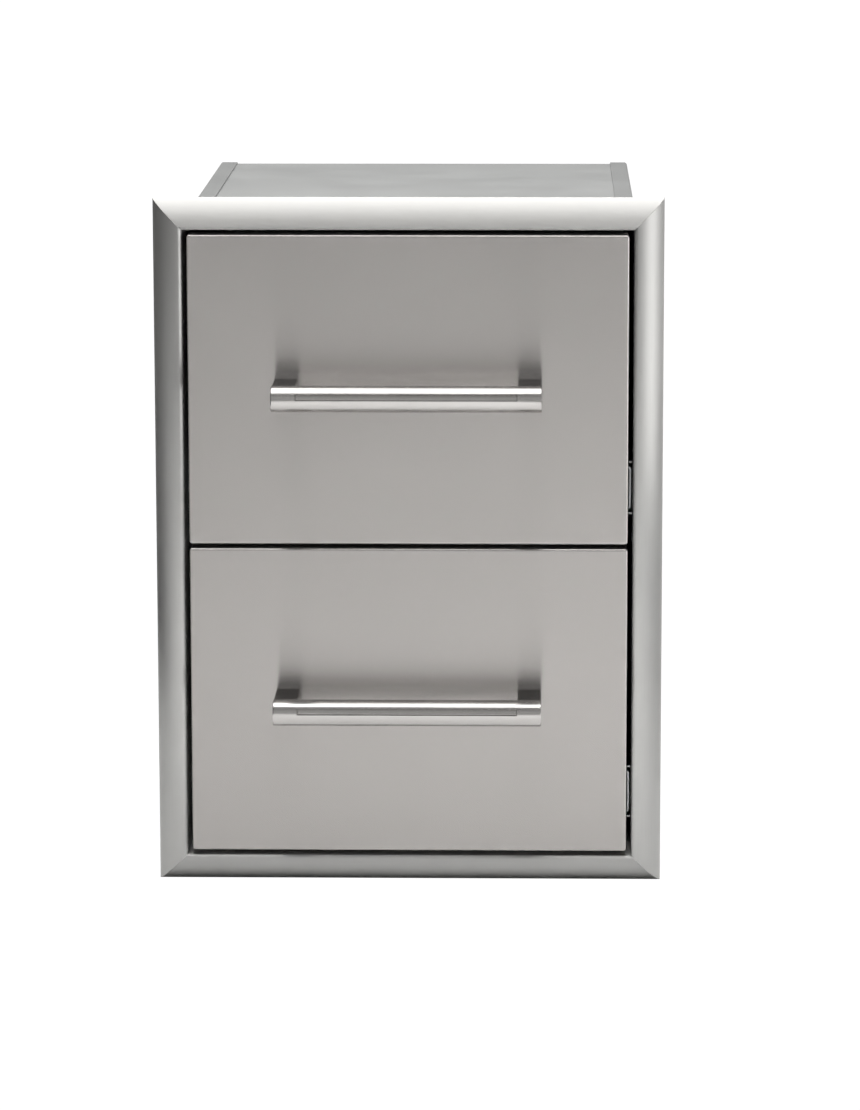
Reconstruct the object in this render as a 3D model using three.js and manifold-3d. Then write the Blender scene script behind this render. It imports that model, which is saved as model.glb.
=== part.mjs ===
// Built-in double drawer unit of folded stainless steel for an outdoor kitchen.
// Millimetres, +X to the right, +Y into the island, +Z up.
// The origin is the middle of the bottom rail's rear flange, on the plane of the island's face.

import * as THREE from 'three';
import { mergeVertices } from 'three/addons/utils/BufferGeometryUtils.js';
import Module from 'manifold-3d';

const wasm = await Module();
wasm.setup();

// Driving sizes of the whole unit
const frameWidth = 432;
const frameHeight = 590;
const housingDepth = 520;
const sheet = 1.2; // thickness of the folded steel sheet
const seatGap = 0.3; // left between two pieces that bear on each other
const cutOverrun = 1; // how far a cut runs past the face it opens

// Face frame: a bullnose rail with a leg into the opening and a flange on the island
const rail = {
  width: 25.4,
  depth: 24, // from the island's face to the front
  bend: 3, // radius where the front turns into the opening
  lap: 30, // how far the leg runs into the housing
  flange: 9,
};

// Gaps round the drawer fronts
const reveal = { side: 4.2, top: 4, bottom: 4, between: 3.6 };

// Folded edges of the housing's side panels
const housing = { flange: 16 };

// Drawer front: an outer pan closed by a liner
const front = {
  pan: 20, // depth of the pan's sides
  bend: 2, // radius round the front face
  cornerEase: 0.6, // how much rounder the four corners are than the bend
  linerFlange: 10,
};

// Drawer box behind the front
const box = {
  rise: 10, // from the front's bottom edge to the box's underside
  height: 130,
  rim: 8,
  foot: 12, // flange that carries the bottom sheet
  endFlange: 14, // flange on the liner
};

// Bar handle on two square posts
const handle = {
  length: 226,
  diameter: 22.2,
  standoff: 49.5, // from the front face to the bar's axis
  chamfer: 0.6,
  post: 20,
  grooveInset: 21, // plain bar at each end of the groove
  grooveHeight: 5.8,
  grooveDepth: 2.5,
  grooveTilt: 14.5, // degrees that the groove is turned up from the front
};

// Screw from inside the front into a post
const screw = {
  shank: 6,
  length: 16, // from the front's outer face to the shank's end
  head: 12,
  headHeight: 4,
  hole: 0.3, // clearance round the shank
  socket: 4,
  socketDepth: 2.4,
};

// Telescopic ball slide, one on each side of a drawer
const slide = {
  thickness: 12.7,
  height: 45.6,
  rise: 40, // from the front's bottom edge to the slide's centre line
  setback: 32, // from the island's face to the slide's front end
  rearRoom: 11.2, // from the slide's rear end to the back of the drawer
  lip: 1.4,
  flangeRoom: 0.5, // between a member's flanges and the next web
};

// Ball retainers that run between the members
const retainer = { sheet: 0.6, length: 200, ball: 2.8, ballGap: 0.3, ballCount: 5 };

// Rubber buffers on the housing's back
const buffer = {
  diameter: 18,
  length: 16.5,
  tipDiameter: 13,
  tipLength: 4,
  inset: 58.8, // from the outside of the drawer's side to the buffer's centre
};

// How many flat steps or sides make each round form
const facets = {
  bullnoseSegments: 12,
  bendSegments: 3,
  barSegments: 36,
  screwSegments: 18,
  cornerSegments: 2,
  socketSegments: 6,
};

// Colours and finishes
const steel = (color, roughness) => new THREE.MeshStandardMaterial({ color, roughness, metalness: 1 });
const finish = {
  frame: steel(0xb4b2af, 0.34),
  front: steel(0xb0aca9, 0.38),
  housing: steel(0xb7b9b7, 0.45),
  handle: steel(0xc4c0bc, 0.22),
  zinc: steel(0xa9adb2, 0.4),
  retainer: steel(0x85898d, 0.45),
  screw: steel(0x9c9c9a, 0.3),
  rubber: new THREE.MeshStandardMaterial({ color: 0x1d1d1e, roughness: 0.85, metalness: 0 }),
};

// Sizes that follow from the driving sizes, measured from the frame's bottom edge
const openingHalfWidth = frameWidth / 2 - rail.width;
const openingHalfHeight = frameHeight / 2 - rail.width;
const openingBottom = rail.width;
const openingTop = frameHeight - rail.width;
const wallInside = openingHalfWidth + sheet + seatGap;
const wallOutside = wallInside + sheet;
const topPanelUnderside = openingTop + sheet + seatGap;
const bottomPanelTop = openingBottom - sheet - seatGap;
const housingTop = topPanelUnderside + sheet + seatGap + sheet;
const housingBottom = bottomPanelTop - sheet - seatGap - sheet;
const panelHalfWidth = wallInside - seatGap;
const backPanelRear = housingDepth - sheet - seatGap;
const backPanelFront = backPanelRear - sheet;
const frontWidth = 2 * (openingHalfWidth - reveal.side);
const frontHeight = (2 * openingHalfHeight - reveal.top - reveal.bottom - reveal.between) / 2;
const frontFace = -rail.depth;
const frontRear = frontFace + front.pan;
const boxFront = frontRear + seatGap;
const boxBack = backPanelFront - seatGap - buffer.length - seatGap;
const slideWallFace = wallInside - seatGap;
const boxSideOutside = slideWallFace - slide.thickness - seatGap;
const boxSideInside = boxSideOutside - sheet;
const slideFront = slide.setback;
const slideRear = boxBack - slide.rearRoom;

// Boolean work on closed meshes
function toSolid(geometry) {
  const bare = geometry.clone();
  bare.deleteAttribute('normal');
  bare.deleteAttribute('uv');
  const merged = mergeVertices(bare);
  return new wasm.Manifold(new wasm.Mesh({
    numProp: 3,
    vertProperties: merged.attributes.position.array,
    triVerts: Uint32Array.from(merged.index.array),
  }));
}

function toGeometry(solid) {
  const { vertProperties, triVerts } = solid.getMesh();
  const geometry = new THREE.BufferGeometry();
  geometry.setAttribute('position', new THREE.BufferAttribute(vertProperties, 3));
  geometry.setIndex(new THREE.BufferAttribute(triVerts, 1));
  geometry.computeVertexNormals();
  return geometry;
}

function joined(...geometries) {
  return toGeometry(geometries.map(toSolid).reduce((whole, piece) => whole.add(piece)));
}

function cut(geometry, ...tools) {
  return toGeometry(tools.map(toSolid).reduce((whole, tool) => whole.subtract(tool), toSolid(geometry)));
}

// A block between two corners
function block([x0, y0, z0], [x1, y1, z1]) {
  const geometry = new THREE.BoxGeometry(x1 - x0, y1 - y0, z1 - z0);
  return geometry.translate((x0 + x1) / 2, (y0 + y1) / 2, (z0 + z1) / 2);
}

// A flat outline in x and z, carried along y from yStart to yEnd
function alongY(shape, yStart, yEnd, curveSegments = 1) {
  const geometry = new THREE.ExtrudeGeometry(shape, {
    depth: yEnd - yStart,
    bevelEnabled: false,
    curveSegments,
  });
  return geometry.rotateX(Math.PI / 2).translate(0, yEnd, 0);
}

// Outline of a folded channel: its web starts at x and its flanges reach towards side
function channelShape({ x, side, bottom, top, thickness, lowerFlange, upperFlange, lip = 0 }) {
  const lowerEnd = lip > 0
    ? [[lowerFlange, bottom + thickness + lip], [lowerFlange - thickness, bottom + thickness + lip],
      [lowerFlange - thickness, bottom + thickness]]
    : [[lowerFlange, bottom + thickness]];
  const upperEnd = lip > 0
    ? [[upperFlange - thickness, top - thickness], [upperFlange - thickness, top - thickness - lip],
      [upperFlange, top - thickness - lip]]
    : [[upperFlange, top - thickness]];
  const points = [
    [0, bottom],
    [lowerFlange, bottom],
    ...lowerEnd,
    [thickness, bottom + thickness],
    [thickness, top - thickness],
    ...upperEnd,
    [upperFlange, top],
    [0, top],
  ];
  return new THREE.Shape(points.map(([reach, z]) => new THREE.Vector2(x + side * reach, z)));
}

function mesh(name, geometry, material) {
  const piece = new THREE.Mesh(geometry, material);
  piece.name = name;
  return piece;
}

// Points of a round stretch of an outline, its first point left out
function roundPoints(centre, radii, startAngle, endAngle, steps) {
  return Array.from({ length: steps }, (_, i) => {
    const angle = startAngle + ((endAngle - startAngle) * (i + 1)) / steps;
    return [centre[0] + radii[0] * Math.cos(angle), centre[1] + radii[1] * Math.sin(angle)];
  });
}

// Section of a face frame rail: across is measured outwards from the opening,
// forward from the island's face
function railSection() {
  const { width, depth, bend, lap, flange } = rail;
  const quarter = Math.PI / 2;
  const bendCentre = [bend, depth - bend];
  const innerBend = bend - sheet;
  const innerRadii = [width - bend - sheet, depth - sheet];
  const flangeAngle = Math.asin(sheet / innerRadii[1]);
  const points = [
    [0, -lap],
    [sheet, -lap],
    [sheet, depth - bend],
    ...roundPoints(bendCentre, [innerBend, innerBend], 2 * quarter, quarter, facets.bendSegments),
    ...roundPoints([bend, 0], innerRadii, quarter, flangeAngle, facets.bullnoseSegments),
    [width - flange, sheet],
    [width - flange, 0],
    [width, 0],
    ...roundPoints([bend, 0], [width - bend, depth], 0, quarter, facets.bullnoseSegments),
    ...roundPoints(bendCentre, [bend, bend], quarter, 2 * quarter, facets.bendSegments),
  ];
  return new THREE.Shape(points.map(([across, forward]) => new THREE.Vector2(across, forward)));
}

// A rail below the frame's centre, its ends mitred at 45 degrees
function railGeometry(halfLength, offset) {
  const geometry = new THREE.ExtrudeGeometry(railSection(), {
    depth: 1,
    bevelEnabled: false,
  });
  const position = geometry.attributes.position;
  for (let i = 0; i < position.count; i += 1) {
    const across = position.getX(i);
    const forward = position.getY(i);
    const end = 1 - 2 * position.getZ(i);
    position.setXYZ(i, end * (halfLength + across - seatGap), -forward, -(offset + across));
  }
  geometry.computeVertexNormals();
  return geometry;
}

function faceFrame() {
  const group = new THREE.Group();
  group.position.z = frameHeight / 2;
  const horizontal = railGeometry(openingHalfWidth, openingHalfHeight);
  const upright = railGeometry(openingHalfHeight, openingHalfWidth);
  const rails = [
    ['frame_rail_bottom', horizontal, 0],
    ['frame_rail_left', upright, Math.PI / 2],
    ['frame_rail_top', horizontal, Math.PI],
    ['frame_rail_right', upright, -Math.PI / 2],
  ];
  for (const [name, geometry, turn] of rails) {
    const piece = mesh(name, geometry, finish.frame);
    piece.rotation.y = turn;
    group.add(piece);
  }
  return group;
}

// Side panel with flanges folded over the top, the bottom and the back
function housingSide(side) {
  const channel = alongY(channelShape({
    x: side * wallOutside,
    side: -side,
    bottom: housingBottom,
    top: housingTop,
    thickness: sheet,
    lowerFlange: housing.flange,
    upperFlange: housing.flange,
  }), 0, housingDepth);
  const edges = [side * wallOutside, side * (wallOutside - housing.flange)].sort((a, b) => a - b);
  const backFlange = block(
    [edges[0], housingDepth - sheet, housingBottom],
    [edges[1], housingDepth, housingTop],
  );
  return joined(channel, backFlange);
}

function housingShell() {
  const group = new THREE.Group();
  const add = (name, geometry) => group.add(mesh(name, geometry, finish.housing));
  add('housing_side_left', housingSide(-1));
  add('housing_side_right', housingSide(1));
  const panelRear = backPanelFront - seatGap;
  add('housing_top', block(
    [-panelHalfWidth, 0, topPanelUnderside],
    [panelHalfWidth, panelRear, topPanelUnderside + sheet],
  ));
  add('housing_bottom', block(
    [-panelHalfWidth, 0, bottomPanelTop - sheet],
    [panelHalfWidth, panelRear, bottomPanelTop],
  ));
  add('housing_back', block(
    [-panelHalfWidth, backPanelFront, bottomPanelTop - sheet],
    [panelHalfWidth, backPanelRear, topPanelUnderside + sheet],
  ));
  return group;
}

// Outline of a drawer front, inset on all four sides
function frontOutline(inset, radius) {
  const halfWidth = frontWidth / 2 - inset;
  const halfHeight = frontHeight / 2 - inset;
  const outline = new THREE.Shape();
  outline.moveTo(halfWidth, -halfHeight + radius);
  outline.absarc(halfWidth - radius, halfHeight - radius, radius, 0, Math.PI / 2, false);
  outline.absarc(-halfWidth + radius, halfHeight - radius, radius, Math.PI / 2, Math.PI, false);
  outline.absarc(-halfWidth + radius, -halfHeight + radius, radius, Math.PI, 1.5 * Math.PI, false);
  outline.absarc(halfWidth - radius, -halfHeight + radius, radius, 1.5 * Math.PI, 2 * Math.PI, false);
  outline.closePath();
  return outline;
}

// A solid of the front's outline with a rounded front edge, from yFront back to past the pan
function frontSlab(inset, yFront, bend) {
  const length = frontRear - yFront + cutOverrun;
  const geometry = new THREE.ExtrudeGeometry(frontOutline(inset, bend + front.cornerEase), {
    depth: length,
    bevelEnabled: true,
    bevelThickness: bend,
    bevelSize: bend,
    bevelOffset: -bend,
    bevelSegments: facets.bendSegments,
    curveSegments: facets.cornerSegments,
  });
  return geometry.rotateX(Math.PI / 2).translate(0, yFront + bend + length, frontHeight / 2);
}

// Places of a drawer's two posts along the bar
const postCentre = handle.length / 2 - handle.post / 2;

// A round hole or shank along y
function roundAlongY(radius, x, z, yStart, yEnd) {
  const geometry = new THREE.CylinderGeometry(radius, radius, yEnd - yStart, facets.screwSegments);
  return geometry.translate(x, (yStart + yEnd) / 2, z);
}

function frontSkin() {
  const hole = screw.shank / 2 + screw.hole;
  const behind = block(
    [-frontWidth, frontRear, -frontHeight],
    [frontWidth, frontRear + front.pan + front.bend + cutOverrun, 2 * frontHeight],
  );
  return cut(
    frontSlab(0, frontFace, front.bend),
    behind,
    frontSlab(sheet, frontFace + sheet, Math.max(front.bend - sheet, front.bend / facets.bendSegments)),
    ...[-1, 1].map((side) => roundAlongY(
      hole, side * postCentre, frontHeight / 2, frontFace - cutOverrun, frontFace + sheet + cutOverrun,
    )),
  );
}

// Inner pan that closes the back of the front
function frontLiner() {
  const inset = sheet + seatGap;
  const halfWidth = frontWidth / 2 - inset;
  const linerFace = frontRear - front.linerFlange;
  const outline = frontOutline(inset, front.bend + front.cornerEase);
  return cut(
    alongY(outline, linerFace, frontRear, facets.cornerSegments).translate(0, 0, frontHeight / 2),
    block(
      [-halfWidth + sheet, linerFace - cutOverrun, inset + sheet],
      [halfWidth - sheet, frontRear - sheet, frontHeight - inset - sheet],
    ),
  );
}

// Drawer side: a sheet with a rim, a foot for the bottom and an end flange on the liner
function boxSide(side) {
  const channel = alongY(channelShape({
    x: side * boxSideOutside,
    side: -side,
    bottom: box.rise,
    top: box.rise + box.height,
    thickness: sheet,
    lowerFlange: box.foot,
    upperFlange: box.rim,
  }), boxFront, boxBack - sheet - seatGap);
  const edges = [side * boxSideOutside, side * (boxSideOutside - box.endFlange)].sort((a, b) => a - b);
  const endFlange = block(
    [edges[0], boxFront, box.rise],
    [edges[1], boxFront + sheet, box.rise + box.height],
  );
  return joined(channel, endFlange);
}

// Drawer back: a sheet across both sides with a rim towards the front
function boxBackPanel() {
  const rimFront = boxBack - box.rim;
  const rimHalfWidth = boxSideOutside - box.rim - seatGap;
  const top = box.rise + box.height;
  return joined(
    block([-boxSideOutside, boxBack - sheet, box.rise], [boxSideOutside, boxBack, top]),
    block([-rimHalfWidth, rimFront, top - sheet], [rimHalfWidth, boxBack, top]),
  );
}

function boxBottom() {
  const halfWidth = boxSideInside - seatGap;
  const underside = box.rise + sheet + seatGap;
  return block(
    [-halfWidth, boxFront + sheet + seatGap, underside],
    [halfWidth, boxBack - sheet - seatGap, underside + sheet],
  );
}

// Bar with chamfered ends and a groove along its front, turned up towards the user
function handleBar(axisZ) {
  const radius = handle.diameter / 2;
  const half = handle.length / 2;
  const profile = [
    [0, -half],
    [radius - handle.chamfer, -half],
    [radius, -half + handle.chamfer],
    [radius, half - handle.chamfer],
    [radius - handle.chamfer, half],
    [0, half],
  ].map(([r, along]) => new THREE.Vector2(r, along));
  const bar = new THREE.LatheGeometry(profile, facets.barSegments).rotateZ(Math.PI / 2);
  const grooveHalf = half - handle.grooveInset;
  const groove = block(
    [-grooveHalf, -radius - cutOverrun, -handle.grooveHeight / 2],
    [grooveHalf, -radius + handle.grooveDepth, handle.grooveHeight / 2],
  ).rotateX(-THREE.MathUtils.degToRad(handle.grooveTilt));
  return cut(bar, groove).translate(0, frontFace - handle.standoff, axisZ);
}

// Square post, saddled round the bar and drilled for its screw
function handlePost(x, axisZ) {
  const half = handle.post / 2;
  const barAxis = frontFace - handle.standoff;
  const post = block(
    [x - half, barAxis, axisZ - half],
    [x + half, frontFace - seatGap, axisZ + half],
  );
  const radius = handle.diameter / 2 + seatGap;
  const saddle = new THREE.CylinderGeometry(radius, radius, handle.post + 2 * cutOverrun, facets.barSegments)
    .rotateZ(Math.PI / 2)
    .translate(x, barAxis, axisZ);
  const drilling = roundAlongY(
    screw.shank / 2 + screw.hole, x, axisZ, frontFace - screw.length - cutOverrun, frontFace + cutOverrun,
  );
  return cut(post, saddle, drilling);
}

// Cap screw with a hexagon socket, its head inside the front
function handleScrew(x, axisZ) {
  const headFace = frontFace + sheet + seatGap;
  const headRear = headFace + screw.headHeight;
  const shank = roundAlongY(screw.shank / 2, x, axisZ, frontFace - screw.length, headFace + cutOverrun);
  const head = roundAlongY(screw.head / 2, x, axisZ, headFace, headRear);
  const socket = new THREE.CylinderGeometry(screw.socket / 2, screw.socket / 2,
    screw.socketDepth + cutOverrun, facets.socketSegments);
  socket.translate(x, headRear + (cutOverrun - screw.socketDepth) / 2, axisZ);
  return cut(joined(shank, head), socket);
}

// Half heights of the three slide members, each clear of the next by one row of balls
const ballRoom = retainer.ball + 2 * retainer.ballGap;
const outerHalf = slide.height / 2;
const middleHalf = outerHalf - sheet - ballRoom;
const innerHalf = middleHalf - sheet - ballRoom;
const middleWeb = sheet + seatGap + retainer.sheet + seatGap;
const innerWeb = slide.thickness - sheet;
const innerRetainerWeb = middleWeb + sheet + seatGap;
const innerFlangeEnd = innerRetainerWeb + retainer.sheet + seatGap;
const middleFlangeEnd = innerWeb - slide.flangeRoom;
const outerRetainerEnd = middleFlangeEnd - sheet - seatGap;

// One member as a channel: its web stands off the wall's slide face, and its flanges
// reach inwards, or back to the wall
function slideMember({ side, web, reach, halfHeight, opensToWall = false, thickness = sheet, lip = 0 }) {
  const direction = opensToWall ? side : -side;
  const webPlane = opensToWall ? web + thickness : web;
  return channelShape({
    x: side * (slideWallFace - webPlane),
    side: direction,
    bottom: slide.rise - halfHeight,
    top: slide.rise + halfHeight,
    thickness,
    lowerFlange: reach,
    upperFlange: reach,
    lip,
  });
}

function outerMember(side) {
  const reach = middleFlangeEnd;
  return alongY(slideMember({ side, web: 0, reach, halfHeight: outerHalf, lip: slide.lip }),
    slideFront, slideRear);
}

function middleMember(side) {
  const reach = middleFlangeEnd - middleWeb;
  return alongY(slideMember({ side, web: middleWeb, reach, halfHeight: middleHalf }),
    slideFront, slideRear);
}

function innerMember(side) {
  const reach = slide.thickness - innerFlangeEnd;
  return alongY(slideMember({ side, web: innerWeb, reach, halfHeight: innerHalf, opensToWall: true }),
    slideFront, slideRear);
}

// Ball retainer: a thin channel with a row of balls in each arm
function ballRetainer(side, web, armEnd, raceHalf) {
  const ballHeight = raceHalf + ballRoom / 2;
  const halfHeight = ballHeight + retainer.sheet / 2;
  const middle = (slideFront + slideRear) / 2;
  const start = middle - retainer.length / 2;
  const strip = alongY(slideMember({
    side, web, reach: armEnd - web, halfHeight, thickness: retainer.sheet,
  }), start, start + retainer.length);
  const pitch = retainer.length / retainer.ballCount;
  const x = side * (slideWallFace - (web + retainer.sheet + armEnd) / 2);
  const balls = [];
  for (let i = 0; i < retainer.ballCount; i += 1) {
    for (const level of [-1, 1]) {
      const ball = new THREE.IcosahedronGeometry(retainer.ball / 2, 0);
      balls.push(ball.translate(x, start + (i + 0.5) * pitch, slide.rise + level * ballHeight));
    }
  }
  return joined(strip, ...balls);
}

// Buffer stuck to the housing's back, behind a drawer
function backBuffer(x) {
  const profile = [
    [0, 0],
    [buffer.diameter / 2, 0],
    [buffer.diameter / 2, buffer.length - buffer.tipLength],
    [buffer.tipDiameter / 2, buffer.length],
    [0, buffer.length],
  ].map(([r, along]) => new THREE.Vector2(r, along));
  const z = box.rise + box.height / 2;
  return new THREE.LatheGeometry(profile, facets.screwSegments)
    .rotateX(Math.PI)
    .translate(x, backPanelFront - seatGap, z);
}

// One drawer with its slides and buffers, set from its front's bottom edge
function drawer(name, z) {
  const group = new THREE.Group();
  group.position.z = z;
  const add = (piece, geometry, material) => group.add(mesh(`${name}_${piece}`, geometry, material));
  const axisZ = frontHeight / 2;
  add('front_skin', frontSkin(), finish.front);
  add('front_liner', frontLiner(), finish.housing);
  add('box_back', boxBackPanel(), finish.housing);
  add('box_bottom', boxBottom(), finish.housing);
  add('handle_bar', handleBar(axisZ), finish.handle);
  for (const [word, side] of [['left', -1], ['right', 1]]) {
    add(`box_side_${word}`, boxSide(side), finish.housing);
    add(`handle_post_${word}`, handlePost(side * postCentre, axisZ), finish.handle);
    add(`handle_screw_${word}`, handleScrew(side * postCentre, axisZ), finish.screw);
    add(`slide_outer_${word}`, outerMember(side), finish.zinc);
    add(`slide_middle_${word}`, middleMember(side), finish.zinc);
    add(`slide_inner_${word}`, innerMember(side), finish.zinc);
    add(`outer_retainer_${word}`, ballRetainer(side, sheet + seatGap, outerRetainerEnd, middleHalf),
      finish.retainer);
    add(`inner_retainer_${word}`, ballRetainer(side, innerRetainerWeb, middleFlangeEnd, innerHalf),
      finish.retainer);
    add(`buffer_${word}`, backBuffer(side * (boxSideOutside - buffer.inset)), finish.rubber);
  }
  return group;
}

const unit = new THREE.Group();
unit.position.z = -rail.flange / 2;
unit.add(faceFrame(), housingShell());
const lowerFront = openingBottom + reveal.bottom;
unit.add(drawer('lower', lowerFront));
unit.add(drawer('upper', lowerFront + frontHeight + reveal.between));

export default unit;
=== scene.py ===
import math

import bmesh
import bpy
import numpy as np
from mathutils import Matrix, Vector


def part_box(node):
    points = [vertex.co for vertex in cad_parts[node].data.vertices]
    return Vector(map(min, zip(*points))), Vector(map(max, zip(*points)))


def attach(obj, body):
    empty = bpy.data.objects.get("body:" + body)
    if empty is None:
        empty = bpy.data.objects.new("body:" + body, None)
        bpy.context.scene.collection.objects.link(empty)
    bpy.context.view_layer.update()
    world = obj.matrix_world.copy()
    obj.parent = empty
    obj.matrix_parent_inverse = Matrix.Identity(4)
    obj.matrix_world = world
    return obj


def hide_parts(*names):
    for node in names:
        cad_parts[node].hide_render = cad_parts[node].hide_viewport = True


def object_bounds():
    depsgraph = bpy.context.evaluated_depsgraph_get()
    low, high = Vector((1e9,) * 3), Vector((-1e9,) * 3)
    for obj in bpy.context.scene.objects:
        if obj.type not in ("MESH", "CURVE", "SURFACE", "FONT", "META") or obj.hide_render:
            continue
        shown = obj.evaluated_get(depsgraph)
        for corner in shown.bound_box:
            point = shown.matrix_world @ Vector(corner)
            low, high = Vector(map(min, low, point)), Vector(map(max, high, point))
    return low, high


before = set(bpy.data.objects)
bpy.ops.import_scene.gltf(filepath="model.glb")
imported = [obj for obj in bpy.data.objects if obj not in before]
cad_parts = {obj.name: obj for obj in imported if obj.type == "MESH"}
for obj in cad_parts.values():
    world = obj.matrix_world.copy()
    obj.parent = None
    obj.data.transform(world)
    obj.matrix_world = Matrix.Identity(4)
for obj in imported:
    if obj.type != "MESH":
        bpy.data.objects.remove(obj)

cadBox = [list(corner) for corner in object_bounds()]
mm = 0.001
xAxis, yAxis, zAxis = 0, 1, 2
sides = {"left": -1, "right": 1}
drawers = ("lower", "upper")
print("stage 1: frame loaded")


# Camera: far off with a long lens, a little to the right and looking down ten degrees
camera = {
    "place": (112.7 * mm, -3959.2 * mm, 1002.9 * mm),
    "turnLeft": 1.373,          # degrees from straight along +Y
    "tiltDown": 10.360,
    "roll": -0.095,
    "lens": 152.8,
    "sensor": 36,
    "sees": 100,                # how far it sees, in metres
}


def aimCamera(look):
    # Forward is +Y turned left and tilted down; right and up are turned by the roll about it
    turn, tilt, roll = (math.radians(look[key]) for key in ("turnLeft", "tiltDown", "roll"))
    forward = Vector((-math.sin(turn) * math.cos(tilt), math.cos(turn) * math.cos(tilt), -math.sin(tilt)))
    level = Vector((math.cos(turn), math.sin(turn), 0))
    upright = level.cross(forward)
    right = level * math.cos(roll) + upright * math.sin(roll)
    up = upright * math.cos(roll) - level * math.sin(roll)
    data = bpy.data.cameras.new("photoCamera")
    data.lens = look["lens"]
    data.sensor_width = look["sensor"]
    data.clip_end = look["sees"]
    rig = bpy.data.objects.new("photoCamera", data)
    bpy.context.scene.collection.objects.link(rig)
    rig.matrix_world = Matrix.Translation(look["place"]) @ Matrix((right, up, -forward)).transposed().to_4x4()
    bpy.context.scene.camera = rig


aimCamera(camera)
print("stage 2: camera set")


# Shader helpers
def addNode(tree, kind, **values):
    made = tree.nodes.new(kind)
    for key, value in values.items():
        setattr(made, key, value)
    return made


def mapRange(tree, source, low, high, toLow, toHigh):
    made = addNode(tree, "ShaderNodeMapRange")
    for slotIndex, value in zip((1, 2, 3, 4), (low, high, toLow, toHigh)):
        made.inputs[slotIndex].default_value = value
    tree.links.new(source, made.inputs[0])
    return made.outputs[0]


def noise(tree, vector, scale, detail, rough):
    made = addNode(tree, "ShaderNodeTexNoise")
    made.inputs["Scale"].default_value = scale
    made.inputs["Detail"].default_value = detail
    made.inputs["Roughness"].default_value = rough
    tree.links.new(vector, made.inputs["Vector"])
    return made.outputs["Fac"]


def blendColour(tree, factor, dark, light):
    made = addNode(tree, "ShaderNodeMix", data_type="RGBA")
    for socket in made.inputs:
        if socket.type == "RGBA" and socket.name in ("A", "B"):
            socket.default_value = (*(dark if socket.name == "A" else light), 1)
    tree.links.new(factor, made.inputs[0])
    return made.outputs[2]


def bump(tree, height, distance, normal=None):
    made = addNode(tree, "ShaderNodeBump")
    made.inputs["Strength"].default_value = 1
    made.inputs["Distance"].default_value = distance
    tree.links.new(height, made.inputs["Height"])
    if normal:
        tree.links.new(normal, made.inputs["Normal"])
    return made.outputs["Normal"]


def newMaterial(name):
    material = bpy.data.materials.new(name)
    material.use_nodes = True
    return material, material.node_tree, material.node_tree.nodes["Principled BSDF"]


# Finishes of the steel. Spread is how far the grain draws a reflection out, and the grain's scratches have
# a length, a width and a depth. Clouds vary the tone, and waves are slow dents of the sheet
steelLooks = {
    "frameSteel": {
        "dark": (0.383, 0.379, 0.369), "light": (0.427, 0.424, 0.413), "roughness": (0.33, 0.37),
        "spread": 1.0, "grainLength": 60 * mm, "grainWidth": 0.35 * mm, "grainDepth": 0.003 * mm,
        "cloud": 120 * mm, "wave": 160 * mm, "waveDepth": 0.03 * mm,
    },
    # The frame's steel made lighter for the top rail alone, a painted highlight from the lights above; it is
    # rougher too
    "litTopRailSteel": {
        "dark": (0.465, 0.46, 0.446), "light": (0.505, 0.50, 0.486), "roughness": (0.445, 0.485),
        "spread": 1.0, "grainLength": 60 * mm, "grainWidth": 0.35 * mm, "grainDepth": 0.003 * mm,
        "cloud": 120 * mm, "wave": 160 * mm, "waveDepth": 0.03 * mm,
    },
    "frontSteel": {
        "dark": (0.374, 0.358, 0.345), "light": (0.410, 0.392, 0.378), "roughness": (0.21, 0.25),
        "spread": 1.0, "grainLength": 90 * mm, "grainWidth": 0.4 * mm, "grainDepth": 0.003 * mm,
        "cloud": 150 * mm, "wave": 260 * mm, "waveDepth": 0.03 * mm,
    },
    "housingSteel": {
        "dark": (0.345, 0.349, 0.343), "light": (0.385, 0.389, 0.382), "roughness": (0.36, 0.46),
        "spread": 0.2, "grainLength": 6 * mm, "grainWidth": 1.5 * mm, "grainDepth": 0.003 * mm,
        "cloud": 70 * mm, "wave": 190 * mm, "waveDepth": 0.07 * mm,
    },
    "handleSteel": {
        "dark": (0.43, 0.417, 0.403), "light": (0.48, 0.467, 0.453), "roughness": (0.14, 0.18),
        "spread": 0.9, "grainLength": 18 * mm, "grainWidth": 0.25 * mm, "grainDepth": 0.002 * mm,
        "cloud": 60 * mm, "waveDepth": 0,
    },
    # The handle's steel made far darker, and dimmer at a low angle, for the posts: painted shade where they
    # sit behind the bar
    "shadedPostSteel": {
        "dark": (0.13, 0.124, 0.118), "light": (0.17, 0.162, 0.154), "roughness": (0.20, 0.26),
        "glance": 0.65,             # how much of its glare at a low angle it keeps
        "spread": 0.9, "grainLength": 18 * mm, "grainWidth": 0.25 * mm, "grainDepth": 0.002 * mm,
        "cloud": 60 * mm, "waveDepth": 0,
    },
    "slideZinc": {
        "dark": (0.66, 0.675, 0.69), "light": (0.80, 0.81, 0.82), "roughness": (0.18, 0.30),
        "spread": 0, "grainWidth": 3 * mm, "grainDepth": 0.006 * mm, "cloud": 16 * mm, "waveDepth": 0,
    },
    "retainerSteel": {
        "dark": (0.20, 0.21, 0.22), "light": (0.28, 0.29, 0.30), "roughness": (0.35, 0.5),
        "spread": 0, "grainWidth": 1 * mm, "grainDepth": 0.004 * mm, "cloud": 12 * mm, "waveDepth": 0,
    },
    "screwSteel": {
        "dark": (0.30, 0.30, 0.30), "light": (0.40, 0.40, 0.39), "roughness": (0.22, 0.32),
        "spread": 0, "grainWidth": 0.4 * mm, "grainDepth": 0.002 * mm, "cloud": 8 * mm, "waveDepth": 0,
    },
}


# What the steels share: each noise's detail and roughness, and how the grain lies
steelNoise = {
    "scratches": (3, 0.6),
    "clouds": (3, 0.55),
    "waves": (1, 0.4),
    "span": (0.3, 0.7),         # values of a noise that stand for its darkest and its lightest
    "grainTurn": 0.25,          # of a whole turn, from the tangent to the way a reflection is drawn out
}


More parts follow.
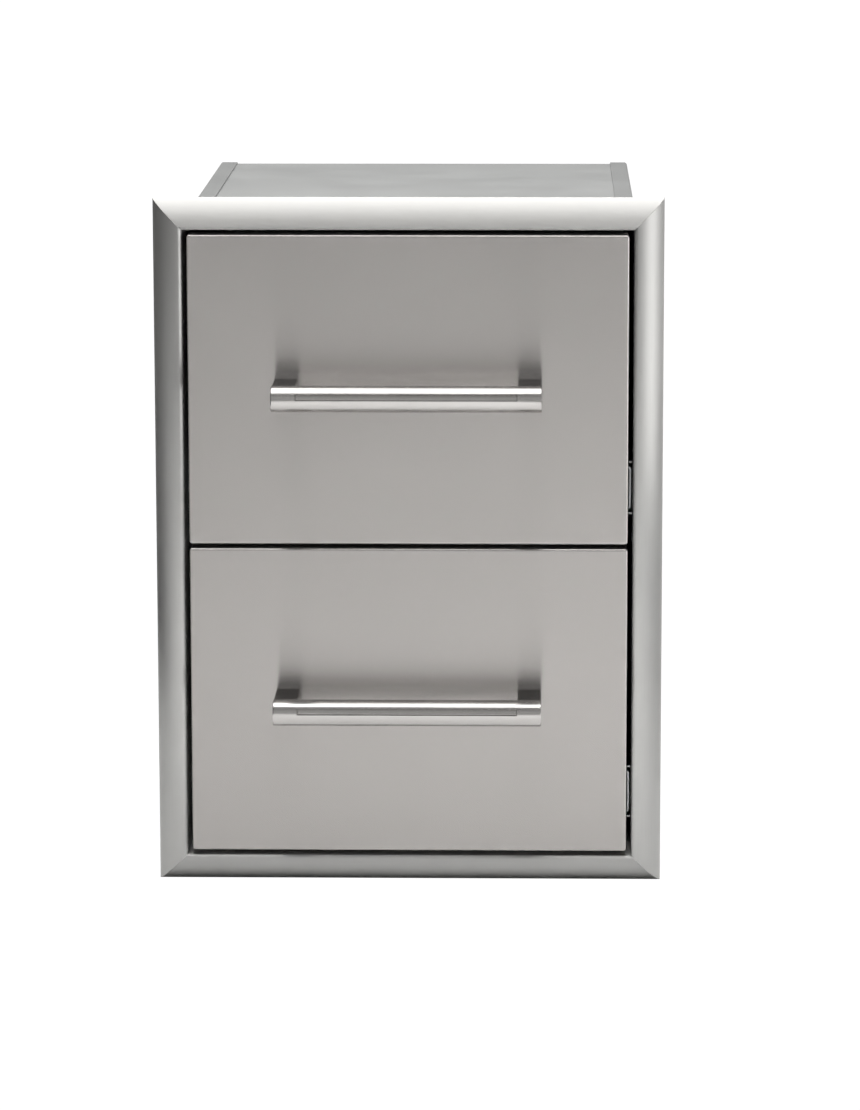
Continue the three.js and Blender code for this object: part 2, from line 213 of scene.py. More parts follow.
def steel(name, look, shared):
    # Scratches run along the grain map's U; clouds and slow waves follow the object's own coordinates
    material, tree, shader = newMaterial(name)
    place = addNode(tree, "ShaderNodeTexCoord").outputs["Object"]
    if look["spread"]:
        grainMap = addNode(tree, "ShaderNodeUVMap", uv_map="grain")
        stretch = addNode(tree, "ShaderNodeMapping")
        stretch.inputs["Scale"].default_value = (1 / look["grainLength"], 1 / look["grainWidth"], 1)
        tree.links.new(grainMap.outputs["UV"], stretch.inputs["Vector"])
        scratches = noise(tree, stretch.outputs["Vector"], 1, *shared["scratches"])
        along = addNode(tree, "ShaderNodeTangent", direction_type="UV_MAP", uv_map="grain")
        tree.links.new(along.outputs["Tangent"], shader.inputs["Tangent"])
    else:
        scratches = noise(tree, place, 1 / look["grainWidth"], *shared["scratches"])
    clouds = noise(tree, place, 1 / look["cloud"], *shared["clouds"])
    mixed = addNode(tree, "ShaderNodeMath", operation="ADD")
    tree.links.new(mapRange(tree, scratches, *shared["span"], 0, 0.5), mixed.inputs[0])
    tree.links.new(mapRange(tree, clouds, *shared["span"], 0, 0.5), mixed.inputs[1])
    tone = mixed.outputs[0]
    tree.links.new(blendColour(tree, tone, look["dark"], look["light"]), shader.inputs["Base Color"])
    tree.links.new(mapRange(tree, tone, 0, 1, *look["roughness"]), shader.inputs["Roughness"])
    normal = bump(tree, scratches, look["grainDepth"])
    if look["waveDepth"]:
        waves = noise(tree, place, 1 / look["wave"], *shared["waves"])
        normal = bump(tree, waves, look["waveDepth"], normal)
    tree.links.new(normal, shader.inputs["Normal"])
    shader.inputs["Metallic"].default_value = 1
    shader.inputs["Anisotropic"].default_value = look["spread"]
    shader.inputs["Anisotropic Rotation"].default_value = shared["grainTurn"]
    shader.inputs["Specular Tint"].default_value = (*[look.get("glance", 1)] * 3, 1)
    return material


# Moulded rubber: near black, matt, with a fine pebbled skin
rubberLook = {
    "dark": (0.010, 0.010, 0.011), "light": (0.022, 0.022, 0.023), "roughness": (0.6, 0.85),
    "pebble": 0.8 * mm, "pebbleDepth": 0.05 * mm,
    "pebbles": (4, 0.6),        # the noise's detail and roughness
    "span": (0.3, 0.7),
}


def rubber(name, look):
    # Colour, roughness and height all follow one noise of pebbles
    material, tree, shader = newMaterial(name)
    place = addNode(tree, "ShaderNodeTexCoord").outputs["Object"]
    pebbles = noise(tree, place, 1 / look["pebble"], *look["pebbles"])
    tree.links.new(blendColour(tree, pebbles, look["dark"], look["light"]), shader.inputs["Base Color"])
    tree.links.new(mapRange(tree, pebbles, *look["span"], *look["roughness"]), shader.inputs["Roughness"])
    tree.links.new(bump(tree, pebbles, look["pebbleDepth"]), shader.inputs["Normal"])
    return material


materials = {name: steel(name, look, steelNoise) for name, look in steelLooks.items()}
materials["bufferRubber"] = rubber("bufferRubber", rubberLook)
print("stage 3: materials made")


# Surface helpers
def gridFaces(rows, columns):
    # Quads between neighbouring rows of a grid whose last column joins its first
    row = np.arange(rows - 1)[:, None] * columns
    here = np.arange(columns)[None, :]
    there = (here + 1) % columns
    corners = (row + here, row + there, row + columns + there, row + columns + here)
    return np.stack(corners, -1).reshape(-1, 4).tolist()


def shell(points):
    # A closed skin: rows of points joined round and along, with a face over the first row and the last
    rows, columns = points.shape[:2]
    first = list(range(columns))[::-1]
    last = list(range((rows - 1) * columns, rows * columns))
    return points.reshape(-1, 3), gridFaces(rows, columns) + [first, last]


def grainUv(mesh, grain, shift):
    # U is the place along the grain and V the place across it, on the plane that each face looks along
    loops = len(mesh.loops)
    vertexOf = np.zeros(loops, np.int32)
    mesh.loops.foreach_get("vertex_index", vertexOf)
    places = np.zeros(len(mesh.vertices) * 3)
    mesh.vertices.foreach_get("co", places)
    places = places.reshape(-1, 3)[vertexOf]
    normals = np.zeros(len(mesh.polygons) * 3)
    mesh.polygons.foreach_get("normal", normals)
    sizes = np.zeros(len(mesh.polygons), np.int32)
    mesh.polygons.foreach_get("loop_total", sizes)
    facing = np.repeat(np.abs(normals.reshape(-1, 3)).argmax(1), sizes)
    other = np.where(facing == grain, (grain + 2) % 3, 3 - facing - grain)
    along = np.where(facing == grain, (grain + 1) % 3, grain)
    pick = np.arange(loops)
    uv = np.stack([places[pick, along], places[pick, other]], -1) + shift
    layer = mesh.uv_layers.new(name="grain")
    layer.data.foreach_set("uv", uv.ravel())


# What every mesh shares
meshing = {
    "grainShift": 0.37,         # moves the grain on from piece to piece, so that no two are alike
    "sharpAngle": 35,           # degrees; an edge folded further stays sharp
}


def makePiece(name, shells, finish, body, replaced, grain=xAxis):
    # Joins the shells into one mesh with its place in it, outward faces, a grain map and smooth rounds
    vertices, faces, start = [], [], 0
    for points, quads in shells:
        vertices.append(points)
        faces += [[index + start for index in face] for face in quads]
        start += len(points)
    mesh = bpy.data.meshes.new(name)
    mesh.from_pydata(np.concatenate(vertices).tolist(), [], faces)
    tidy = bmesh.new()
    tidy.from_mesh(mesh)
    bmesh.ops.recalc_face_normals(tidy, faces=tidy.faces)
    tidy.to_mesh(mesh)
    tidy.free()
    grainUv(mesh, grain, meshing["grainShift"] * len(bpy.data.meshes))
    mesh.shade_smooth()
    mesh.set_sharp_from_angle(angle=math.radians(meshing["sharpAngle"]))
    mesh.materials.append(materials[finish])
    piece = bpy.data.objects.new(name, mesh)
    bpy.context.scene.collection.objects.link(piece)
    weighted = piece.modifiers.new("weightedNormals", "WEIGHTED_NORMAL")
    weighted.keep_sharp = True
    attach(piece, body)
    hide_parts(*replaced)


def arc(centre, radii, start, end, steps):
    # Points of an ellipse's arc from one angle to another, in degrees
    angle = np.radians(np.linspace(start, end, steps + 1))
    return np.stack([centre[0] + radii[0] * np.cos(angle), centre[1] + radii[1] * np.sin(angle)], -1)


def foldedSheet(corners, thickness, bend, steps=6):
    # Outline of a folded sheet: its middle line through the corners, each turned on an arc,
    # set off by half the thickness to one side and run back on the other
    corners = np.array(corners, float)
    directions = np.diff(corners, axis=0)
    directions /= np.linalg.norm(directions, axis=1, keepdims=True)
    left = np.stack([-directions[:, 1], directions[:, 0]], -1)
    radius = bend + thickness / 2
    points, normals = [corners[:1]], [left[:1]]
    for corner, before, after, side in zip(corners[1:-1], directions, directions[1:], left):
        turn = math.atan2(before[0] * after[1] - before[1] * after[0], before @ after)
        start = corner - before * radius * math.tan(abs(turn) / 2)
        way = math.copysign(1, turn)
        angle = np.linspace(0, turn, steps + 1)[:, None]
        swung = side * np.cos(angle) - before * np.sin(angle)
        points.append(start + way * radius * (side - swung))
        normals.append(swung)
    points = np.concatenate(points + [corners[-1:]])
    normals = np.concatenate(normals + [left[-1:]])
    return np.concatenate([points + normals * thickness / 2, (points - normals * thickness / 2)[::-1]])


def carried(section, axis, start, end):
    # A section carried straight along an axis; its two coordinates go to the other two axes in order
    rows = np.zeros((2, len(section), 3))
    across = [number for number in range(3) if number != axis]
    rows[:, :, across] = section
    rows[0, :, axis] = start
    rows[1, :, axis] = end
    return shell(rows)


# Face frame: four rails of one bullnose section, mitred
rail = {
    "sheet": 1.2 * mm,
    "bend": 3 * mm,             # where the front turns into the opening
    "flange": 9 * mm,           # turned back on the island's face
    "seam": 0.22 * mm,          # open mitre at the opening, closing to nothing at the outer edge
    "roundSteps": 48,
    "bendSteps": 10,
}


def railSection(width, depth, lap, look):
    # A quarter ellipse from the front to the outer edge, a tight bend into the opening and a straight leg
    sheet, bend, flange = look["sheet"], look["bend"], look["flange"]
    outer = (width - bend, depth)
    inner = (width - bend - sheet, depth - sheet)
    turn = (bend, depth - bend)
    flangeAngle = math.degrees(math.asin(sheet / inner[1]))
    return np.concatenate([
        [(0, -lap), (sheet, -lap)],
        arc(turn, (bend - sheet, bend - sheet), 180, 90, look["bendSteps"]),
        arc((bend, 0), inner, 90, flangeAngle, look["roundSteps"])[1:],
        [(width - flange, sheet), (width - flange, 0)],
        arc((bend, 0), outer, 0, 90, look["roundSteps"]),
        arc(turn, (bend, bend), 90, 180, look["bendSteps"])[1:],
    ])


def railShell(section, halfLength, offset, outward, along, centre, seam, width):
    # Each point of the section runs along the rail to the 45 degree mitre at both ends
    across, forward = section[:, 0], section[:, 1]
    reach = halfLength + across - seam * (1 - across / width)
    middle = centre + np.outer(offset + across, outward) - np.outer(forward, (0, 1, 0))
    run = np.outer(reach, along)
    return shell(np.stack([middle - run, middle + run]))


def makeFrame(look):
    low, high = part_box("frame_rail_bottom")
    width, depth, lap = high.z - low.z, -low.y, high.y
    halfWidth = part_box("frame_rail_right")[1].x - width
    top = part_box("frame_rail_top")[1].z
    centre = np.array([0, 0, (low.z + top) / 2])
    halfHeight = (top - low.z) / 2 - width
    section = railSection(width, depth, lap, look)
    outwards = {"bottom": (0, 0, -1), "left": (-1, 0, 0), "top": (0, 0, 1), "right": (1, 0, 0)}
    for word, outward in outwards.items():
        level = outward[0] == 0
        # The top rail gets the lighter steel with its painted highlight
        finish = "litTopRailSteel" if word == "top" else "frameSteel"
        along = (1, 0, 0) if level else (0, 0, 1)
        length, offset = (halfWidth, halfHeight) if level else (halfHeight, halfWidth)
        points = railShell(section, length, offset, outward, along, centre, look["seam"], width)
        makePiece(f"frameRail_{word}", [points], finish, "root", [f"frame_rail_{word}"],
                  grain=xAxis if level else zAxis)


makeFrame(rail)
print("stage 4: face frame made")


# Drawer front: a pan with a rounded face edge
front = {
    "sheet": 1.2 * mm,
    "bend": 2 * mm,
    "ease": 0.6 * mm,           # how much rounder the corners are than the bend
    "collar": 0.6 * mm,         # flat ring that keeps the bend's shading off the face
    "leastRadius": 0.02 * mm,   # of a corner that the insets have used up
    "bendSteps": 8,
    "cornerSteps": 8,
}


def cornerRing(low, high, inset, depth, radius, steps):
    # A rectangle with round corners, drawn in by the inset, at one depth
    radius = max(radius - inset, front["leastRadius"])
    ring = []
    for signX, signZ, start in ((1, 1, 0), (-1, 1, 90), (-1, -1, 180), (1, -1, 270)):
        centreX = (high.x if signX > 0 else low.x) - signX * (inset + radius)
        centreZ = (high.z if signZ > 0 else low.z) - signZ * (inset + radius)
        ring.append(arc((centreX, centreZ), (radius, radius), start, start + 90, steps))
    ring = np.concatenate(ring)
    return np.stack([ring[:, 0], np.full(len(ring), depth), ring[:, 1]], -1)


def panShell(low, high, faceY, rimY, look):
    # Rings run out over the face, round the bend and along the outer wall to the rim, then back inside
    sheet, bend = look["sheet"], look["bend"]
    way = math.copysign(1, rimY - faceY)
    angle = np.radians(np.linspace(90, 0, look["bendSteps"] + 1))
    flat = bend + look["collar"]
    insets = [flat, *(bend - bend * np.cos(angle)), 0, sheet, sheet, flat]
    depths = [0, *(bend - bend * np.sin(angle)), abs(rimY - faceY), abs(rimY - faceY), bend, sheet]
    rings = [cornerRing(low, high, inset, faceY + way * depth, bend + look["ease"], look["cornerSteps"])
             for inset, depth in zip(insets, depths)]
    return shell(np.stack(rings))


def makeFront(word, look):
    low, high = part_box(f"{word}_front_skin")
    makePiece(f"{word}FrontPan", [panShell(low, high, low.y, high.y, look)], "frontSteel",
              f"{word}_drawer", [f"{word}_front_skin"])
    low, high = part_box(f"{word}_front_liner")
    makePiece(f"{word}FrontLiner", [panShell(low, high, high.y, low.y, look)], "housingSteel",
              f"{word}_drawer", [f"{word}_front_liner"])


for drawer in drawers:
    makeFront(drawer, front)
print("stage 5: drawer fronts made")


# Handle: a bar with a groove along its front, on two square posts
handle = {
    "chamfer": 0.6 * mm,
    "groove": 5.8 * mm,         # its height
    "grooveDepth": 2.5 * mm,
    "grooveWalls": (0.3 * mm, 1.1 * mm),        # how far its upper and its lower wall slope in
    "grooveTilt": 14.5,         # degrees that it is turned up from the front
    "grooveInset": 21 * mm,     # plain bar at each end
    "grooveEase": 0.7 * mm,     # its runout at each end
    "postEase": 1.4 * mm,
    "postGap": 0.05 * mm,       # between a post's end and the bar
    "postSteps": 6,
    "roundSteps": 96,
    "grooveSteps": 36,
}


def barSection(radius, look, grooved):
    # The circle's points. Across the groove each is pushed in by the groove's depth times the least of 1
    # and its distance from either lip over that wall's slope, and the whole is turned up
    half = look["groove"] / 2
    lip = math.degrees(math.asin(half / radius))
    steps = look["grooveSteps"]
    body = arc((0, 0), (radius, radius), lip - 180, 180 - lip, look["roundSteps"])
    well = arc((0, 0), (radius, radius), 180 - lip, 180 + lip, steps)[1:-1]
    if grooved:
        across = well[:, 1] / half
        upper, lower = ((1 - way * across) * half / wall for way, wall in zip((1, -1), look["grooveWalls"]))
        well[:, 0] += look["grooveDepth"] * np.clip(np.minimum(upper, lower), 0, 1)
    section = np.concatenate([body, well])
    turn = math.radians(look["grooveTilt"])
    return section @ np.array([[math.cos(turn), -math.sin(turn)], [math.sin(turn), math.cos(turn)]])


def makeBar(word, look):
    low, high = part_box(f"{word}_handle_bar")
    radius, chamfer = (high.z - low.z) / 2, look["chamfer"]
    axisY, axisZ = (low.y + high.y) / 2, (low.z + high.z) / 2
    plain, grooved = barSection(radius, look, False), barSection(radius, look, True)
    shrunk = plain * (1 - chamfer / radius)
    inset, ease = look["grooveInset"], look["grooveEase"]
    stations = [(low.x, shrunk), (low.x + chamfer, plain), (low.x + chamfer + ease, plain),
                (low.x + inset - ease, plain), (low.x + inset, grooved), (high.x - inset, grooved),
                (high.x - inset + ease, plain), (high.x - chamfer - ease, plain),
                (high.x - chamfer, plain), (high.x, shrunk)]
    rows = np.stack([np.column_stack([np.full(len(section), x), section + (axisY, axisZ)])
                     for x, section in stations])
    makePiece(f"{word}HandleBar", [shell(rows)], "handleSteel", f"{word}_drawer", [f"{word}_handle_bar"])


def makePost(word, side, look):
    # A square section with eased corners runs from the front to the bar, where it ends on the bar's round
    low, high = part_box(f"{word}_handle_post_{side}")
    barLow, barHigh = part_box(f"{word}_handle_bar")
    radius = (barHigh.z - barLow.z) / 2 + look["postGap"]
    axisY, axisZ = (barLow.y + barHigh.y) / 2, (barLow.z + barHigh.z) / 2
    square = cornerRing(low, high, 0, 0, look["postEase"], look["postSteps"])
    saddle = square.copy()
    saddle[:, 1] = axisY + np.sqrt(radius ** 2 - (square[:, 2] - axisZ) ** 2)
    rear = square.copy()
    rear[:, 1] = high.y
    # The posts get the darker steel that paints their shade
    makePiece(f"{word}HandlePost_{side}", [shell(np.stack([saddle, rear]))], "shadedPostSteel",
              f"{word}_drawer", [f"{word}_handle_post_{side}"], grain=yAxis)


for drawer in drawers:
    makeBar(drawer, handle)
    for side in sides:
        makePost(drawer, side, handle)
print("stage 6: handles made")


# Folded sheet: the housing's panels and the drawer boxes
folds = {
    "sheet": 1.2 * mm,
    "bend": 1.5 * mm,           # inside the folds
    "housingFlange": 16 * mm,
    "boxRim": 8 * mm,
    "boxFoot": 12 * mm,
    "boxEndFlange": 14 * mm,
    "dish": 0.35 * mm,          # how far a housing panel bows inwards at its middle
    "boxDish": 0.2 * mm,        # and a drawer's bottom
    "panelSteps": 40,
}


def sideSheet(low, high, side, upper, lower, flange, endY, look):
    # A web with a fold over its top and its bottom, and a third fold across the end at endY.
    # The web lies on the outer face; side is the way from the middle of the unit to it
    half, turn = look["sheet"] / 2, look["bend"] + look["sheet"]
    outer = high.x if side > 0 else low.x
    web = outer - side * half
    channel = foldedSheet([(outer - side * upper, high.z - half), (web, high.z - half),
                           (web, low.z + half), (outer - side * lower, low.z + half)],
                          look["sheet"], look["bend"])
    inward = 1 if endY < (low.y + high.y) / 2 else -1
    cornerY = endY + inward * turn
    farY = high.y if inward > 0 else low.y
    faceY = endY + inward * half
    corner = foldedSheet([(web, cornerY), (web, faceY), (outer - side * flange, faceY)],
                         look["sheet"], look["bend"])
    return [carried(channel, yAxis, cornerY, farY), carried(corner, zAxis, low.z + turn, high.z - turn)]


def panelShell(low, high, normal, inward, look):
    # A sheet whose two faces bow inwards together: the dish is a half wave along each of its sides
    steps = look["panelSteps"]
    first, second = [axis for axis in range(3) if axis != normal]
    u = np.linspace(0, 1, steps + 1)
    bow = inward * look["dish"] * np.outer(np.sin(math.pi * u), np.sin(math.pi * u))
    grid = np.zeros((steps + 1, steps + 1, 3))
    grid[..., first] = low[first] + (high[first] - low[first]) * u[None, :]
    grid[..., second] = low[second] + (high[second] - low[second]) * u[:, None]
    near, far = grid.copy(), grid.copy()
    near[..., normal] = low[normal] + bow
    far[..., normal] = high[normal] + bow
    return shell(np.concatenate([near, far[:, ::-1]], 1))


def makeHousing(look):
    for word, side in sides.items():
        name = f"housing_side_{word}"
        low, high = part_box(name)
        flange = look["housingFlange"]
        makePiece(f"housingSide_{word}", sideSheet(low, high, side, flange, flange, flange, high.y, look),
                  "housingSteel", "root", [name], grain=yAxis)
    for word, normal, inward in (("top", zAxis, -1), ("bottom", zAxis, 1), ("back", yAxis, -1)):
        low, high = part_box(f"housing_{word}")
        makePiece(f"housingPanel_{word}", [panelShell(low, high, normal, inward, look)], "housingSteel",
                  "root", [f"housing_{word}"])


def makeBox(word, look):
    half, turn = look["sheet"] / 2, look["bend"] + look["sheet"]
    body = f"{word}_drawer"
    for hand, side in sides.items():
        name = f"{word}_box_side_{hand}"
        low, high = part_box(name)
        folded = sideSheet(low, high, side, *(look[key] for key in ("boxRim", "boxFoot", "boxEndFlange")),
                           low.y, look)
        makePiece(f"{word}BoxSide_{hand}", folded, "housingSteel", body, [name], grain=yAxis)
    low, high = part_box(f"{word}_box_back")
    web = high.y - half
    rimEnd = high.x - look["boxRim"] - half
    wall = foldedSheet([(web, low.z), (web, high.z - turn)], look["sheet"], look["bend"])
    rim = foldedSheet([(web, high.z - turn), (web, high.z - half), (low.y, high.z - half)],
                      look["sheet"], look["bend"])
    makePiece(f"{word}BoxBack", [carried(wall, xAxis, low.x, high.x), carried(rim, xAxis, -rimEnd, rimEnd)],
              "housingSteel", body, [f"{word}_box_back"])
    low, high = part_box(f"{word}_box_bottom")
    makePiece(f"{word}BoxBottom", [panelShell(low, high, zAxis, -1, {**look, "dish": look["boxDish"]})],
              "housingSteel", body, [f"{word}_box_bottom"])


makeHousing(folds)
for drawer in drawers:
    makeBox(drawer, folds)
print("stage 7: housing and drawer boxes made")


# Ball slides: three rolled channels, and thin retainers with balls between them
slides = {
    "sheet": 1.2 * mm,
    "bend": 0.7 * mm,
    "lip": 2.6 * mm,            # turned in at the edges of the outer member
    "retainerSheet": 0.6 * mm,
    "retainerBend": 0.3 * mm,
    "ball": 1.4 * mm,           # its radius
    "ballsInRow": 5,
    "ballSteps": 16,
    "ballPole": 88,             # degrees of latitude where the small flat at each pole begins
}


def memberSection(low, high, webX, openX, look, lip=0, sheet=None, bend=None):
    # The middle line runs from one flange's edge round the web to the other, with a lip at each if asked
    sheet, bend = sheet or look["sheet"], bend or look["bend"]
    half = sheet / 2
    way = math.copysign(1, openX - webX)
    web = webX + way * half
    if lip:
        edge = openX - way * half
        ends = [(edge, high.z - lip), (edge, high.z - half)], [(edge, low.z + half), (edge, low.z + lip)]
    else:
        ends = [(openX, high.z - half)], [(openX, low.z + half)]
    return foldedSheet([*ends[0], (web, high.z - half), (web, low.z + half), *ends[1]], sheet, bend)


def ballShell(centre, look):
    # A sphere as rings of latitude from pole to pole
    steps, pole = look["ballSteps"], look["ballPole"]
    latitude = np.radians(np.linspace(-pole, pole, steps // 2 + 1))[:, None]
    longitude = np.radians(np.arange(steps) * 360 / steps)[None, :]
    points = np.stack([np.cos(latitude) * np.cos(longitude), np.cos(latitude) * np.sin(longitude),
                       np.sin(latitude) + 0 * longitude], -1)
    return shell(centre + look["ball"] * points)


def makeSlides(word, look):
    for hand, side in sides.items():
        for part, body, lip, toWall in (("outer", "root", look["lip"], False),
                                        ("middle", f"{word}_slide_middles", 0, False),
                                        ("inner", f"{word}_drawer", 0, True)):
            name = f"{word}_slide_{part}_{hand}"
            low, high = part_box(name)
            wall, room = (high.x, low.x) if side > 0 else (low.x, high.x)
            section = memberSection(low, high, room if toWall else wall, wall if toWall else room, look, lip)
            makePiece(f"{word}Slide{part.title()}_{hand}", [carried(section, yAxis, low.y, high.y)],
                      "slideZinc", body, [name])
        for part in ("outer", "inner"):
            name = f"{word}_{part}_retainer_{hand}"
            low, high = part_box(name)
            wall, room = (high.x, low.x) if side > 0 else (low.x, high.x)
            reach = (look["ball"] * 2 - look["retainerSheet"]) / 2
            flat = low.copy(), high.copy()
            flat[0].z, flat[1].z = low.z + reach, high.z - reach
            section = memberSection(*flat, wall, room, look, 0, look["retainerSheet"], look["retainerBend"])
            strip = carried(section, yAxis, low.y, high.y)
            pitch = (high.y - low.y) / look["ballsInRow"]
            x = (wall - side * look["retainerSheet"] + room) / 2
            balls = [ballShell((x, low.y + (index + 0.5) * pitch, level), look)
                     for index in range(look["ballsInRow"])
                     for level in (low.z + look["ball"], high.z - look["ball"])]
            makePiece(f"{word}{part.title()}Retainer_{hand}", [strip, *balls], "retainerSteel",
                      f"{word}_{part}_retainers", [name])


for drawer in drawers:
    makeSlides(drawer, slides)
print("stage 8: slides made")


# Rubber buffers on the housing's back: a nose of one diameter on a wider foot
buffers = {
    "tip": 13 * mm,
    "tipLength": 4 * mm,
    "ease": 1.2 * mm,
    "footStart": 150,           # degrees at which the round of the foot leaves the nose
    "easeSteps": 6,
    "steps": 48,
}


def makeBuffer(word, hand, look):
    # A profile of radius against length, turned about its own axis along Y
    name = f"{word}_buffer_{hand}"
    low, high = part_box(name)
    centreX, centreZ, radius = (low.x + high.x) / 2, (low.z + high.z) / 2, (high.x - low.x) / 2
    ease, tip, cone = look["ease"], look["tip"] / 2, low.y + look["tipLength"]
    nose = arc((low.y + ease, tip - ease), (ease, ease), 180, 90, look["easeSteps"])
    shoulder = arc((cone + ease, radius - ease), (ease, ease), look["footStart"], 90, look["easeSteps"])
    profile = np.concatenate([nose, shoulder, [(high.y, radius)]])
    angle = np.radians(np.arange(look["steps"]) * 360 / look["steps"])[None, :]
    along, reach = profile[:, :1], profile[:, 1:]
    rows = np.stack([centreX + reach * np.cos(angle), along + 0 * angle, centreZ + reach * np.sin(angle)], -1)
    makePiece(f"{word}Buffer_{hand}", [shell(rows)], "bufferRubber", "root", [name])


for drawer in drawers:
    for hand in sides:
        makeBuffer(drawer, hand, buffers)
print("stage 9: buffers made")


# The handle screws keep their CAD shape
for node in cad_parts.values():
    if not node.hide_render:
        node.data.materials.clear()
        node.data.materials.append(materials["screwSteel"])
print("stage 10: kept nodes finished")


# Studio: pale floor with a painted shadow round the frame's foot, two soft boxes above and one at the right,
# washes that light the floor alone, a dim card at the left, and a dim room
studio = {
    "floorHalf": 40.0,
    "floorTone": 0.85,
    "paper": 1.05,              # how bright the floor and the room are to the camera
    # A shadow is painted on the floor round the frame's foot, seen only in the steel: the floor is dimmest at
    # the first of these distances outside the foot, and pale from the second
    "foot": (-7 * mm, 5 * mm),
    "footShadowTone": 0.05,
    "fill": 0.32,               # how bright the room is to the floor
    "front": 0.56,              # and to the steel: in front, high up in front and behind
    "frontHigh": 0.28,
    "back": 0.5,
    "riseSpan": (0.4, 0.7),     # heights of a ray's direction between which front goes over to frontHigh
    "backSpan": (0.2, 0.9),     # and its run along +Y between which they go over to back
    "lights": {                 # one kept off the floor shows in the steel alone, and the other way round
        "overhead": {"place": (0, -0.2, 2.2), "aim": (0, -0.2, 0), "size": (3.2, 1.5), "power": 72,
                     "onFloor": False},
        "ceiling": {"place": (0, 1.5, 2.2), "aim": (0, 1.5, 0), "size": (3.2, 1.9), "power": 34,
                    "onFloor": False},
        "right": {"place": (2.0, -0.95, 0.45), "aim": (0, 0, 0.3), "size": (1.7, 1.0), "power": 18.5,
                  "onFloor": False},
        "wash": {"place": (0.3, -1.2, 1.5), "aim": (0.3, -1.2, 0), "size": (0.8, 0.8), "power": 38,
                 "inSteel": False},
        "near": {"place": (0.2, -0.5, 0.9), "aim": (0.2, -0.5, 0), "size": (0.5, 0.5), "power": 3.3,
                 "inSteel": False},
        "rear": {"place": (0, 2.4, 1.4), "aim": (0, 2.4, 0), "size": (1.2, 1.2), "power": 40,
                 "inSteel": False},
        "far": {"place": (-2.6, -1.3, 1.5), "aim": (-2.6, -1.3, 0), "size": (1.2, 1.2), "power": 22,
                "inSteel": False},
    },
    "flag": {"x": -1.0, "front": -0.35, "back": 1.3, "height": 1.2, "low": 0.0, "high": 0.15, "rise": 0.4},
}


# The floor's tone with a painted shadow: dark next to the frame's foot and pale further out
def footShadowTone(tree, look):
    # The distance outside the frame's foot is the larger of |x - mid| - half and |y - mid| - half
    parts = addNode(tree, "ShaderNodeSeparateXYZ")
    tree.links.new(addNode(tree, "ShaderNodeTexCoord").outputs["Object"], parts.inputs[0])
    away = []
    for axis, low, high in zip("XY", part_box("frame_rail_bottom")[0], cadBox[1]):
        steps = (("SUBTRACT", (low + high) / 2), ("ABSOLUTE", 0), ("SUBTRACT", (high - low) / 2))
        value = parts.outputs[axis]
        for operation, amount in steps:
            step = addNode(tree, "ShaderNodeMath", operation=operation)
            tree.links.new(value, step.inputs[0])
            step.inputs[1].default_value = amount
            value = step.outputs[0]
        away.append(value)
    larger = addNode(tree, "ShaderNodeMath", operation="MAXIMUM")
    tree.links.new(away[0], larger.inputs[0])
    tree.links.new(away[1], larger.inputs[1])
    return mapRange(tree, larger.outputs[0], *look["foot"], look["footShadowTone"], look["floorTone"])


def bareMaterial(name):
    material = bpy.data.materials.new(name)
    material.use_nodes = True
    material.node_tree.nodes.clear()
    return material, material.node_tree


def makeCard(name, corners, material):
    mesh = bpy.data.meshes.new(name)
    mesh.from_pydata(corners, [], [(0, 1, 2, 3)])
    mesh.materials.append(material)
    card = bpy.data.objects.new(name, mesh)
    bpy.context.scene.collection.objects.link(card)
    return card


def makeFloor(look):
    # Matt to the light and to the steel, with a painted shadow round the frame's foot, and plain white to the
    # camera
    material, tree = bareMaterial("paleFloor")
    matt = addNode(tree, "ShaderNodeBsdfDiffuse")
    tree.links.new(footShadowTone(tree, look), matt.inputs["Color"])
    white = addNode(tree, "ShaderNodeEmission")
    white.inputs["Strength"].default_value = look["paper"]
    mixed = addNode(tree, "ShaderNodeMixShader")
    seen = addNode(tree, "ShaderNodeLightPath")
    tree.links.new(seen.outputs["Is Camera Ray"], mixed.inputs[0])
    tree.links.new(matt.outputs[0], mixed.inputs[1])
    tree.links.new(white.outputs[0], mixed.inputs[2])
    tree.links.new(mixed.outputs[0], addNode(tree, "ShaderNodeOutputMaterial").inputs["Surface"])
    half, level = look["floorHalf"], cadBox[0][2]
    corners = [(-half, -half, level), (half, -half, level), (half, half, level), (-half, half, level)]
    floor = makeCard("studioFloor", corners, material)


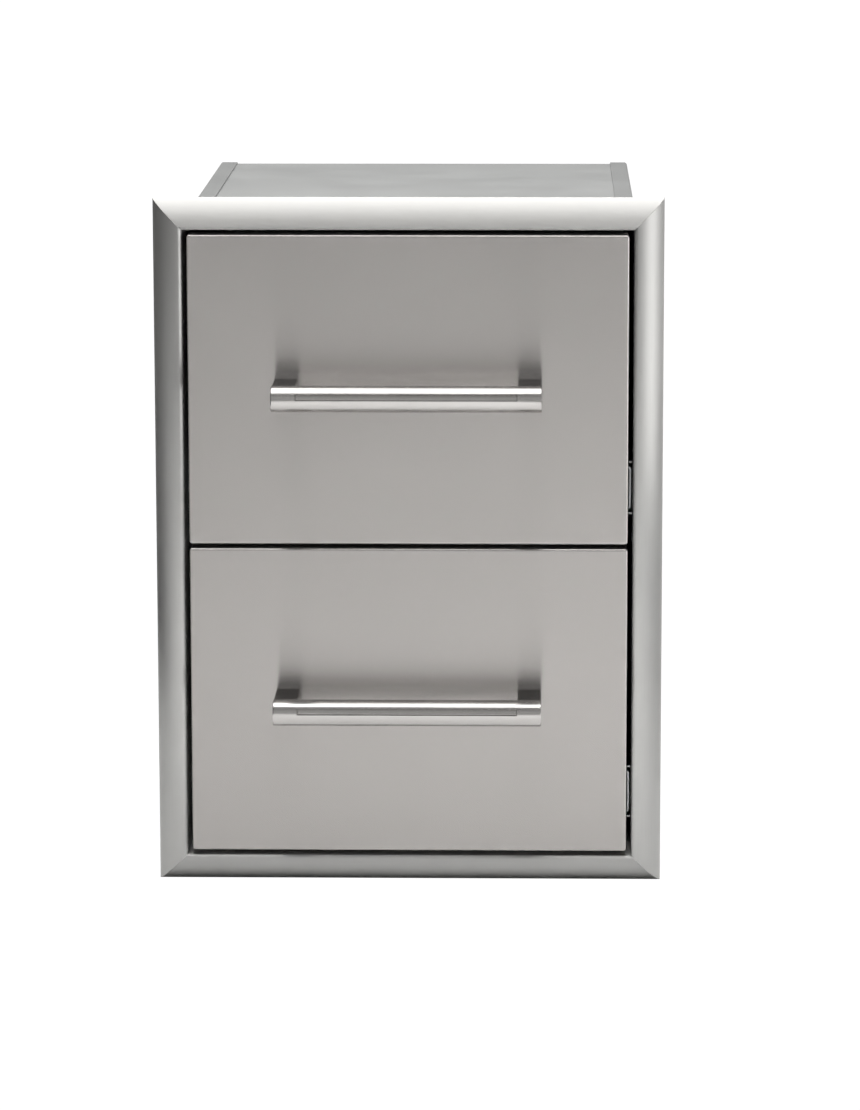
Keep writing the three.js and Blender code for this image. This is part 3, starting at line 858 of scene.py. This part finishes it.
def makeRoom(look):
    # To the steel the room is one tone in front, dimmer high up and another behind; the camera sees white
    world = bpy.data.worlds.new("room")
    bpy.context.scene.world = world
    world.use_nodes = True
    tree = world.node_tree
    background = tree.nodes["Background"]
    way = addNode(tree, "ShaderNodeTexCoord").outputs["Generated"]
    parts = addNode(tree, "ShaderNodeSeparateXYZ")
    tree.links.new(way, parts.inputs[0])
    ahead = mapRange(tree, parts.outputs["Z"], *look["riseSpan"], look["front"], look["frontHigh"])
    behind = addNode(tree, "ShaderNodeMix", data_type="FLOAT")
    tree.links.new(mapRange(tree, parts.outputs["Y"], *look["backSpan"], 0, 1), behind.inputs[0])
    tree.links.new(ahead, behind.inputs[2])
    behind.inputs[3].default_value = look["back"]
    seen = addNode(tree, "ShaderNodeLightPath")
    strength = behind.outputs[0]
    for ray, value in (("Is Diffuse Ray", look["fill"]), ("Is Camera Ray", look["paper"])):
        pick = addNode(tree, "ShaderNodeMix", data_type="FLOAT")
        tree.links.new(seen.outputs[ray], pick.inputs[0])
        tree.links.new(strength, pick.inputs[2])
        pick.inputs[3].default_value = value
        strength = pick.outputs[0]
    tree.links.new(strength, background.inputs["Strength"])
    background.inputs["Color"].default_value = (1, 1, 1, 1)


def makeLight(name, look):
    data = bpy.data.lights.new(name, "AREA")
    data.shape = "RECTANGLE"
    data.size, data.size_y = look["size"]
    data.energy = look["power"]
    light = bpy.data.objects.new(name, data)
    light.visible_camera = False
    light.visible_glossy = look.get("inSteel", True)
    light.visible_diffuse = look.get("onFloor", True)
    bpy.context.scene.collection.objects.link(light)
    light.location = look["place"]
    aim = Vector(look["aim"]) - Vector(look["place"])
    light.rotation_euler = aim.to_track_quat("-Z", "Y").to_euler()


def makeFlag(look):
    # An upright card at the left, seen only in the steel, that brightens upwards
    material, tree = bareMaterial("dimCard")
    glow = addNode(tree, "ShaderNodeEmission")
    parts = addNode(tree, "ShaderNodeSeparateXYZ")
    tree.links.new(addNode(tree, "ShaderNodeTexCoord").outputs["Object"], parts.inputs[0])
    level = cadBox[0][2]
    tone = mapRange(tree, parts.outputs["Z"], level, level + look["rise"], look["low"], look["high"])
    tree.links.new(tone, glow.inputs["Strength"])
    tree.links.new(glow.outputs[0], addNode(tree, "ShaderNodeOutputMaterial").inputs["Surface"])
    x, front, back, top = look["x"], look["front"], look["back"], level + look["height"]
    corners = [(x, front, level), (x, back, level), (x, back, top), (x, front, top)]
    flag = makeCard("studioFlag", corners, material)
    flag.visible_camera = flag.visible_diffuse = flag.visible_shadow = False


makeFloor(studio)
makeRoom(studio)
makeFlag(studio["flag"])
for name, look in studio["lights"].items():
    makeLight(name, look)
bpy.context.scene.view_settings.view_transform = "Standard"
print("stage 11: studio lit")
